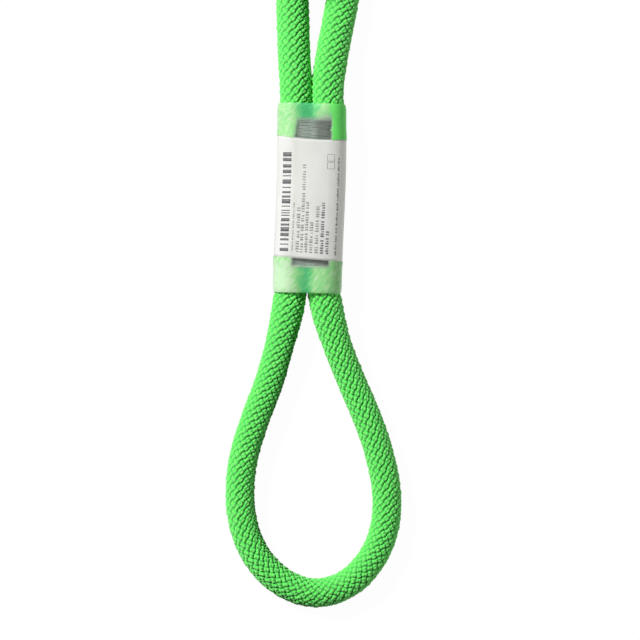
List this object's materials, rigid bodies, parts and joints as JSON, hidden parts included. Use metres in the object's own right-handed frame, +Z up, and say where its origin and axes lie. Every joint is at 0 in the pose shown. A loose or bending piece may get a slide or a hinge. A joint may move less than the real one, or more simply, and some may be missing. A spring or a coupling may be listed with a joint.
{
  "type": "dynamic rope lanyard",
  "caption": "Lanyard of braided dynamic climbing rope: a sewn tie-in eye in a clear sleeve, a short and a long arm ending in sewn eyes, folded into a tied hank.",
  "frame": {"origin": "on the floor, under the middle of the whole lanyard's bounding box as it lies folded", "axes": "+Y from the tie-in eye up along the arms, +Z up off the floor, +X to the right seen from above"},
  "size_m": [0.0674, 0.418, 0.0321],
  "materials": {
    "rope_sheath": "bright green braid of paired polyamide yarns",
    "rope_core": "undyed twisted polyamide strands",
    "bar_tack_thread": "grey waxed sewing thread",
    "label_film": "satin white film",
    "shrink_sleeve": "milky translucent heat-shrink tube",
    "tie_webbing": "black loop-pile webbing",
    "tie_hook": "black moulded hook tape",
    "tie_thread": "grey sewing thread"
  },
  "bodies": {
    "lanyard": {"sheath_tie_in_eye": "rope_sheath", "sheath_short_arm": "rope_sheath", "sheath_short_arm_eye": "rope_sheath", "sheath_long_arm": "rope_sheath", "sheath_long_arm_hank": "rope_sheath", "sheath_long_arm_eye": "rope_sheath", "core_tie_in_eye": "rope_core", "core_short_arm": "rope_core", "core_short_arm_eye": "rope_core", "core_long_arm": "rope_core", "core_long_arm_hank": "rope_core", "core_long_arm_eye": "rope_core", "main_stitching": "bar_tack_thread", "main_label": "label_film", "main_sleeve": "shrink_sleeve", "short_arm_stitching": "bar_tack_thread", "short_arm_sleeve": "shrink_sleeve", "long_arm_stitching": "bar_tack_thread", "long_arm_sleeve": "shrink_sleeve"},
    "hank_tie": {"tie_band": "tie_webbing", "tie_hook_patch": "tie_hook", "tie_stitching": "tie_thread"}
  },
  "joints": [
    {"name": "tie_slide", "type": "slide", "parent": "lanyard", "child": "hank_tie", "axis": [0, 1, 0], "range_m": [-0.005, 0.005]}
  ]
}
